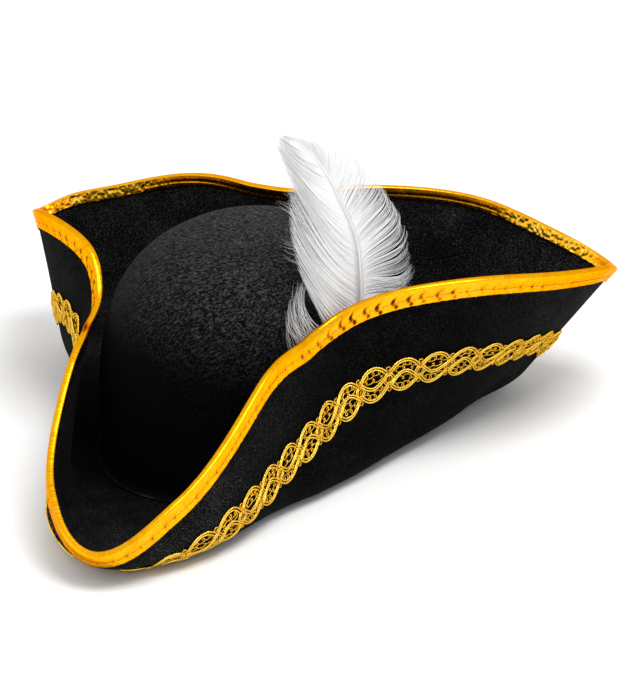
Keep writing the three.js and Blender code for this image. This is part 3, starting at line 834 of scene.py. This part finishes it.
def laid_cord(place, across, height, radius, sides=4, closed=False):
    """A cord on the felt from its places along the braid, across it and above it."""
    angle = np.interp(place % BRAID_TOTAL, braid_lengths, fine_angles)
    distance = around("width", angle) - around("braid", angle) + across
    centres = felt_point(angle, distance, BRAID_BED + height)
    return swept(centres, felt_normal(angle, distance), radius, sides=sides, closed=closed)


def doubled(place, across, height, radius, spread, sides=6, closed=False):
    """Two strands side by side. Each is moved by half the spread along the drawing's own normal, the run
    turned by a right angle."""
    if closed:
        run, rise = (np.roll(values, -1, axis=1) - np.roll(values, 1, axis=1) for values in (place, across))
        run = (run + BRAID_TOTAL / 2) % BRAID_TOTAL - BRAID_TOTAL / 2
    else:
        run, rise = np.gradient(place, axis=1), np.gradient(across, axis=1)
    size = np.hypot(run, rise)
    return [laid_cord(place - shift * rise / size, across + shift * run / size, height, radius, sides,
                      closed) for shift in (-spread / 2, spread / 2)]


def scallop_cord(side):
    """An outer cord: arch = (1 - cos)/2 of the place over the pitch, swollen sideways by a share of the
    sine, so that each arch is nearly a circle and the dips between them are narrow."""
    steps = SCALLOPS * 16
    place = (np.arange(steps) * BRAID_TOTAL / steps)[None]
    turn = 2 * math.pi * place / CELL
    arch = (1 - np.cos(turn)) / 2
    wobble = 0.3 * MM * uneven(place / CELL * 1.7, 11 + 7 * side)
    across = side * (BRAID_HALF - ARCH_RISE + ARCH_RISE * arch + wobble)
    height = OUTER_CORD + 0.25 * MM * (1 - arch)
    return doubled(place - ARCH_SWELL * np.sin(turn), across, height, OUTER_CORD, 1.3 * MM, closed=True)


def cell_cords(cells, drawing, radius, spread, sides=6):
    """Doubled cords drawn once for a cell and repeated: drawing gives (place, across, height) in
    millimetres."""
    place, across, height = (values[None] * MM for values in drawing)
    return doubled(place + (cells * CELL)[:, None], across, height, radius, spread, sides)


def braid_cord_mesh():
    """Outer cords, rings and the cord between them."""
    parts = scallop_cord(1) + scallop_cord(-1)
    turn = np.linspace(0, 2 * math.pi, 17)
    ring = (2.7 * np.cos(turn), 2.6 * np.sin(turn), 1.2 + 0.15 * np.cos(2 * turn))
    parts += cell_cords(np.arange(SCALLOPS), ring, RING_CORD, 1.1 * MM, sides=4)
    t = np.linspace(0, 1, 15)
    across = 3.9 - 6.2 * np.sin(math.pi * t) ** 1.2
    height = 1.0 + 0.6 * np.cos(math.pi * t) ** 2
    for first, sign in ((0, 1), (1, -1)):
        drawing = (CELL / MM * t, sign * across, height)
        parts += cell_cords(np.arange(first, SCALLOPS, 2), drawing, MIDDLE_CORD, 1.25 * MM)
    return joined(parts)


def curls(cell, side, count, turns, phase, share):
    """Curls inside a scallop: a small circle carried along under the arch. share moves the circle from the
    arch in towards the braid's middle."""
    t = np.linspace(0, 1, count)[None]
    wander = uneven(cell * 3.7 + t * 3, 20 + 5 * side + phase)
    turn = 2 * math.pi * turns * t + cell + phase
    place = CELL * (cell + 0.17 + 0.66 * t) + 1.4 * MM * np.cos(turn)
    dipped = (cell % 2 == 0) == (side > 0)
    middle = 2.2 + 3.6 * share + (2.0 * share - 1.4 * dipped * (1 - share)) * np.sin(math.pi * t)
    across = side * MM * (middle + 0.6 * wander + 1.3 * np.sin(turn))
    height = MM * (0.6 + 0.4 * np.sin(turn + 1.0))
    return place, across, height


def braid_fill_mesh():
    """Curls in the scallops, ladders in the rings and picots outside the dips."""
    parts = []
    cells = np.arange(SCALLOPS)[:, None]
    for side in (1, -1):
        for turns, phase, share in ((3.2, 0.0, 0.7), (2.6, 2.0, 0.15)):
            parts.append(laid_cord(*curls(cells, side, 40, turns, phase, share), CURL_CORD))
        t = np.linspace(0, 2 * math.pi, 9)[None]
        place = cells * CELL + 1.1 * MM * np.cos(t) + 0.3 * MM * chance.uniform(-1, 1, cells.shape)
        across = side * (BRAID_HALF - 2.8 * MM + 1.1 * MM * np.sin(t))
        parts.append(laid_cord(place, across, 0.8 * MM, PICOT_CORD))
    t = np.linspace(-1, 1, 5)[None]
    for shift in (-1.2, 0.0, 1.2):
        place = cells * CELL + (shift + 0.25 * t) * MM + 0.2 * MM * chance.uniform(-1, 1, cells.shape)
        across = 2.0 * MM * t * math.sqrt(1 - (shift / 2.6) ** 2)
        parts.append(laid_cord(place, across, (0.75 + 0.2 * (1 - t**2)) * MM, LADDER_CORD))
    return joined(parts)


add_piece("braid_cords", braid_cord_mesh(), bright_cord, "braid_trim")
add_piece("braid_curls", braid_fill_mesh(), amber_shaded_cord, "braid_trim")

# %% [markdown]
# ## Plume
#
# A feather is a quill with barbs on both sides. Each barb leaves the quill at an angle and bends towards
# the tip, and neighbouring barbs cling together in locks with dark gaps between. So a short table says, for
# some roots along the quill, where the barb's tip is and which way the barb heads at both ends. Curves
# through the table give hundreds of barbs, and chance pulls them into locks.

# %% The feather's plane
FEATHER_LENGTH = 190 * MM
FEATHER_ANGLE = 68
FEATHER_FACING = 62
FEATHER_BOW = 0.115
QUILL_RADIUS = 1.3 * MM
feather_out = placed(FEATHER_FACING, 1.0, 0.0) - AXIS
feather_across = placed(FEATHER_FACING + 90, 1.0, 0.0) - AXIS
seat_radius = oval(FEATHER_ANGLE) + CROWN_FOOT + QUILL_RADIUS + 2 * CLEARANCE
FEATHER_SEAT = placed(FEATHER_ANGLE, seat_radius, FELT + CLEARANCE + QUILL_RADIUS)


def feather_point(across, up, depth):
    """A point of the feather from its place in the plane. The plane leans in over the crown by a power of
    the height, so it starts upright and bows towards the tip."""
    bow = FEATHER_BOW * np.maximum(up / FEATHER_LENGTH, 0) ** 2.2 * FEATHER_LENGTH
    parts = (across[..., None] * feather_across, (depth - bow)[..., None] * feather_out)
    return FEATHER_SEAT + parts[0] + parts[1] + up[..., None] * np.array((0, 0, 1.0))


QUILL = np.array([
    (0, 0), (3.5, 22), (7, 45), (10, 68), (12.2, 91), (14.2, 108), (14.8, 119), (13.4, 129), (8, 146),
    (0.6, 165), (-6, 175.3), (-14.4, 183.5), (-24.5, 189.5),
]) * MM


def smooth_through(knots, values, wanted):
    """A smooth curve through values at the knots: cubic pieces with neighbour slopes."""
    i = np.clip(np.searchsorted(knots, wanted, side="right") - 1, 0, len(knots) - 2)
    step = knots[i + 1] - knots[i]
    t = (wanted - knots[i]) / step
    if values.ndim > 1:
        step, t = step[..., None], t[..., None]
    return cubic(values, np.gradient(values, knots, axis=0), i, t, step)


def quill_at(up):
    """The quill's point in the feather's plane at a height."""
    return smooth_through(QUILL[:, 1], QUILL, up)


# %% Barbs
# root is the height on the quill, across and up are the tip's place, all in millimetres. start and end are
# the barb's headings in degrees from straight up, positive towards +across.
BARB_COLUMNS = ("root", "across", "up", "start", "end")
RIGHT_BARBS = np.array([
    (34, 24, 44, 75, 40), (50, 34, 60, 75, 45), (66, 37.5, 72, 72, 55), (79, 39.5, 81.6, 70, 60),
    (87, 45.3, 85.6, 72, 62), (94, 47.8, 92.4, 72, 56), (99, 51.3, 100.5, 68, 38),
    (103, 49.5, 112.4, 62, 14), (108, 47.6, 122.6, 56, -8), (113, 45.0, 131.7, 50, -20),
    (120, 41.4, 139.4, 46, -28), (128, 36.6, 147.8, 42, -32), (134, 31.5, 154.7, 36, -38),
    (141, 25.5, 162.8, 32, -44), (148, 18.5, 169.8, 24, -50), (155, 9.9, 175.5, 12, -55),
    (162, -0.3, 180.5, -5, -60), (172, -10.9, 185.8, -20, -64), (180, -20.4, 189.6, -35, -66),
    (187, -24.8, 191.4, -50, -68),
])
LEFT_BARBS = np.array([
    (20, -11, 70, -40, -25), (34, -15, 84, -42, -25), (50, -20.5, 99, -45, -25),
    (66, -26.4, 116.0, -50, -25), (74, -27.8, 127.4, -50, -22), (81, -28.6, 136.9, -52, -18),
    (88, -28.1, 145.5, -54, -16), (94, -27.0, 153.3, -55, -18), (100, -24.8, 159.7, -56, -22),
    (105, -23.5, 164.8, -56, -28), (112, -24.2, 170.3, -55, -33), (119, -25.2, 174.8, -54, -36),
    (125, -26.3, 178.3, -54, -36), (133, -26.8, 181.6, -54, -34), (141, -26.8, 184.3, -55, -30),
    (150, -26.9, 186.4, -57, -26), (159, -25.8, 188.0, -60, -30), (170, -25.3, 189.5, -64, -40),
    (180, -24.3, 190.5, -68, -50),
])
BARB_STEPS = np.linspace(0, 1, 13)
HANDLE_SHARE = 0.36
# A barb keeps its full width for about a third of its length and then thins to a hair.
BARB_TAPER = np.minimum(1, (1.03 - BARB_STEPS) / (1 - 0.35)) ** 0.8


def heading(degrees, length):
    """A step of some length in a direction measured from straight up."""
    a = np.radians(degrees)
    return np.stack((np.sin(a) * length, np.cos(a) * length), axis=-1)


def barb_paths(root, tip, start, end, lift):
    """Cubic curves in the feather's plane: from the root along the start heading, and into the tip along
    the end heading, the two handles a share of the distance between root and tip. The last value is the
    height off the plane, which eases in from the quill."""
    origin = quill_at(root)
    reach = np.linalg.norm(tip - origin, axis=-1)
    first = origin + heading(start, reach * HANDLE_SHARE)
    last = tip - heading(end, reach * HANDLE_SHARE)
    t = BARB_STEPS[None, :, None]
    flat = ((1 - t) ** 3 * origin[:, None] + 3 * t * (1 - t) ** 2 * first[:, None]
            + 3 * t**2 * (1 - t) * last[:, None] + t**3 * tip[:, None])
    depth = lift[:, None] * BARB_STEPS[None] ** 1.3
    return feather_point(flat[..., 0], flat[..., 1], depth)


def strands(paths, radius, taper, flatness=1.0, sides=4):
    """Quill or barbs, flattened in the feather's plane."""
    return swept(paths, np.broadcast_to(feather_out, paths.shape), radius, taper, flatness, sides)


def vane(rows, count, half_width, lock_chance, pull, depth=0.0):
    """Barbs along one side: the table's curves at evenly spread roots. A lock is a run of neighbours whose
    tips are drawn towards the lock's own middle, so that gaps open between locks."""
    table = dict(zip(BARB_COLUMNS, rows.T))
    low, high = table["root"][[0, -1]]
    root = low + (high - low) * np.linspace(0, 1, count) ** 1.08 + chance.uniform(-0.15, 0.15, count)
    lock = np.cumsum(chance.uniform(0, 1, count) < lock_chance)
    lock = lock - lock.min()
    locks = lock.max() + 1
    centre = np.array([root[lock == k].mean() for k in range(locks)])
    pulled = root + (centre[lock] - root) * chance.uniform(*pull, locks)[lock]
    reach = chance.normal(1.0, 0.012, locks)[lock] * chance.normal(1.0, 0.012, count)
    turn = chance.normal(0, 1.3, locks)[lock]
    value = {key: smooth_through(table["root"], table[key], pulled) for key in BARB_COLUMNS[1:]}
    start = smooth_through(table["root"], table["start"], root)
    origin = quill_at(root * MM)
    tip = np.stack((value["across"], value["up"]), axis=-1) * MM
    tip = origin + (tip - origin) * reach[:, None]
    lift = depth + chance.normal(0, 0.7, locks)[lock] * MM + chance.normal(0, 0.2, count) * MM
    paths = barb_paths(root * MM, tip, start + turn, value["end"] + 1.6 * turn, lift)
    fine = 1 - 0.35 * np.clip((root[:, None] - 115) / 60, 0, 1)
    taper = BARB_TAPER * fine * chance.uniform(0.75, 1.1, (count, 1))
    return strands(paths, half_width, taper, flatness=0.3)


def loose_barbs(count, root_range, tips, spread, start, end, half_width):
    """Soft barbs that stand out of the vane: roots in a range, tips round given places, all in
    millimetres."""
    pick = chance.integers(0, len(tips), count)
    root = chance.uniform(*root_range, count)
    tip = (np.array(tips)[pick] + chance.normal(0, spread, (count, 2))) * MM
    turn = chance.normal(0, 5, count)
    lift = chance.normal(0, 1.5, count) * MM
    paths = barb_paths(root * MM, tip, start + turn, end + 1.2 * turn, lift)
    return strands(paths, half_width, BARB_TAPER, flatness=0.5)


def quill_mesh():
    """The shaft: a round rod that thins towards the tip."""
    up = np.linspace(0, QUILL[-1, 1], 60)
    flat = quill_at(up)
    paths = feather_point(flat[:, 0], flat[:, 1], 0 * up)[None]
    return strands(paths, QUILL_RADIUS, 1 - 0.82 * np.linspace(0, 1, 60) ** 0.8, sides=8)


TUFT_TIPS = [(-26.5, 111.6), (-28.5, 111), (-30.3, 110.4), (-32.9, 107.9), (-35.8, 103.7), (-37.3, 98.6)]
LEFT_WISPS = [(-29.6, 163.1), (-35.4, 159.3), (-33.8, 154.6), (-39.4, 145.3), (-35.1, 136.5),
              (-36.4, 133.6), (-35.8, 129.6)]
RIGHT_WISPS = [(51, 100), (50, 96), (48, 92)]
UPPER_WISPS = [(20, 171), (22, 169)]
UNDER = -0.9 * MM
plume_parts = [
    quill_mesh(),
    vane(RIGHT_BARBS, 540, 0.23 * MM, 0.36, (0.2, 0.65)),
    vane(LEFT_BARBS, 520, 0.25 * MM, 0.32, (0.25, 0.65)),
    vane(LEFT_BARBS, 200, 0.34 * MM, 0.5, (0.0, 0.3), UNDER),
    vane(RIGHT_BARBS, 130, 0.28 * MM, 0.5, (0.0, 0.3), UNDER),
    loose_barbs(70, (36, 70), TUFT_TIPS, 0.9, -80, 30, 0.15 * MM),
    loose_barbs(22, (96, 128), LEFT_WISPS, 1.0, -52, -50, 0.12 * MM),
    loose_barbs(26, (92, 100), RIGHT_WISPS, 0.9, 72, 35, 0.16 * MM),
    loose_barbs(6, (128, 136), UPPER_WISPS, 0.8, 42, -38, 0.16 * MM),
]
add_piece("white_plume", joined(plume_parts), plume_white, "feather")

# %% [markdown]
# ## Floor, light and camera
#
# The hat stands on a plain pale floor. A broad key light hangs above and to the right, a weaker one fills
# from the left, and a white world closes the shadows. The camera is the one that the sizes were worked out
# with.

# %% Floor
floor_mesh = bpy.data.meshes.new("floor")
floor_mesh.from_pydata([(-8, -8, 0), (8, -8, 0), (8, 8, 0), (-8, 8, 0)], [], [(0, 1, 2, 3)])
floor = add_object("floor", floor_mesh)
pale, tree, shader = new_material("pale_floor")
feed(tree, shader, {"Base Color": (0.93, 0.93, 0.93, 1), "Roughness": 0.9})
floor_mesh.materials.append(pale)

# %% World and lights
world = bpy.data.worlds.new("studio")
bpy.context.scene.world = world
world.use_nodes = True
feed(world.node_tree, world.node_tree.nodes["Background"], {"Color": (1, 1, 1, 1), "Strength": 0.85})


def area_light(name, place, target, size, power):
    """A square soft light that looks from its place at a target."""
    data = bpy.data.lights.new(name, "AREA")
    data.size = size
    data.energy = power
    lamp = add_object(name, data)
    to_target = np.array(target) - np.array(place)
    lamp.location = place
    lamp.rotation_mode = "QUATERNION"
    lamp.rotation_quaternion = Vector(to_target).to_track_quat("-Z", "Y")


LIT_POINT = (0, 0, 0.05)
area_light("key", (0.6, -0.25, 1.65), LIT_POINT, 0.8, 20)
area_light("fill", (-1.3, -0.9, 0.8), LIT_POINT, 1.0, 2)
bpy.context.scene.view_settings.view_transform = "Standard"

# %% Camera
CAMERA_AZIMUTH = math.radians(21.475)
CAMERA_ELEVATION = math.radians(22.746)
CAMERA_ROLL = math.radians(-2.845)
CAMERA_DISTANCE = 1.9646
CAMERA_TARGET = AXIS + np.array((25.165, 56.103, 28.489)) * MM
PIXELS_PER_MM = 1.741
PICTURE_HEIGHT = 700
SENSOR = 36

flat_back = np.array((math.sin(CAMERA_AZIMUTH), -math.cos(CAMERA_AZIMUTH), 0.0))
back = flat_back * math.cos(CAMERA_ELEVATION) + np.array((0, 0, math.sin(CAMERA_ELEVATION)))
level = np.array((math.cos(CAMERA_AZIMUTH), math.sin(CAMERA_AZIMUTH), 0.0))
upright = np.cross(back, level)
right = level * math.cos(CAMERA_ROLL) + upright * math.sin(CAMERA_ROLL)
top = -level * math.sin(CAMERA_ROLL) + upright * math.cos(CAMERA_ROLL)
lens = bpy.data.cameras.new("camera")
lens.sensor_width = SENSOR
lens.lens = PIXELS_PER_MM * CAMERA_DISTANCE / MM / PICTURE_HEIGHT * SENSOR
lens.clip_start, lens.clip_end = 0.05, 50
camera = add_object("camera", lens)
turn = Matrix(np.stack((right, top, back), axis=1).tolist()).to_4x4()
camera.matrix_world = Matrix.Translation((CAMERA_TARGET + back * CAMERA_DISTANCE).tolist()) @ turn
bpy.context.scene.camera = camera
print("lens, mm:", round(lens.lens, 1))
